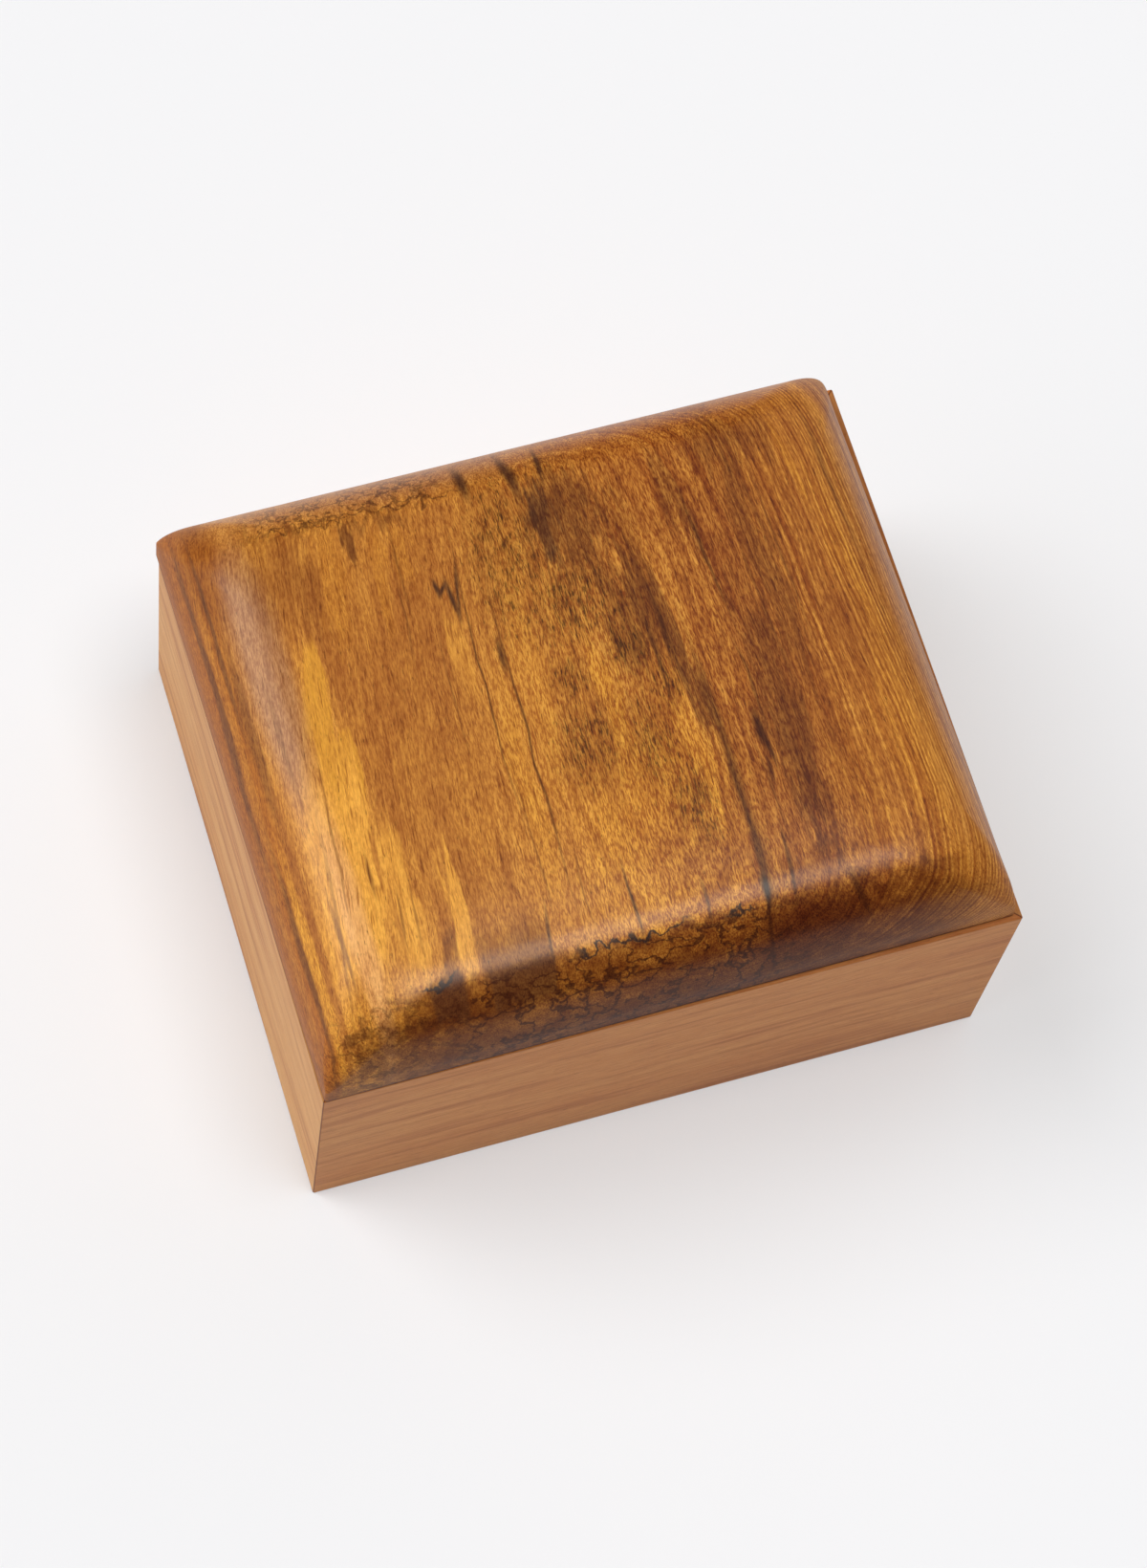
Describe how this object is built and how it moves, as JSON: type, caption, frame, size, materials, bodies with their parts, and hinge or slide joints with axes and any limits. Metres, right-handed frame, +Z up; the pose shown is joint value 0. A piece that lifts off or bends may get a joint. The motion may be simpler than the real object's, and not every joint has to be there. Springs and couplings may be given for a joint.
{
  "type": "dice box with hinged lid",
  "caption": "Small rectangular wooden box for dice: mitred plain walls, a thick lid carved to a rounded pillow shape, brass stop hinges at the back and felt inside.",
  "frame": {"origin": "middle of the underside of the base, on the surface that the box stands on", "axes": "+X to the right along the long side, +Y to the hinged back, +Z up through the lid"},
  "size_m": [0.1106, 0.0939, 0.0632],
  "materials": {
    "wall_wood": "pale pinkish-tan close-grained fruitwood, hand planed and oiled, satin",
    "lid_wood": "orange-brown figured and lightly spalted wood, carved, sanded and oiled, soft gloss",
    "panel_wood": "thin panel of the same pale wood as the walls, sanded and oiled",
    "felt": "short-haired wool felt, dark green",
    "brass": "drawn brass, brushed and lacquered"
  },
  "bodies": {
    "box": {"front_wall": "wall_wood", "back_wall": "wall_wood", "left_wall": "wall_wood", "right_wall": "wall_wood", "bottom_panel": "panel_wood", "floor_felt": "felt", "hinge_left_box_leaf": "brass", "hinge_right_box_leaf": "brass", "hinge_left_pin": "brass", "hinge_right_pin": "brass", "hinge_left_box_screws": "brass", "hinge_right_box_screws": "brass"},
    "lid": {"lid": "lid_wood", "lid_felt": "felt", "hinge_left_lid_leaf": "brass", "hinge_right_lid_leaf": "brass", "hinge_left_lid_screws": "brass", "hinge_right_lid_screws": "brass"}
  },
  "joints": [
    {"name": "lid_hinge", "type": "hinge", "parent": "box", "child": "lid", "pos_m": [0, 0.04655, 0.04607], "axis": [-1, 0, 0], "range_deg": [0, 100]}
  ]
}
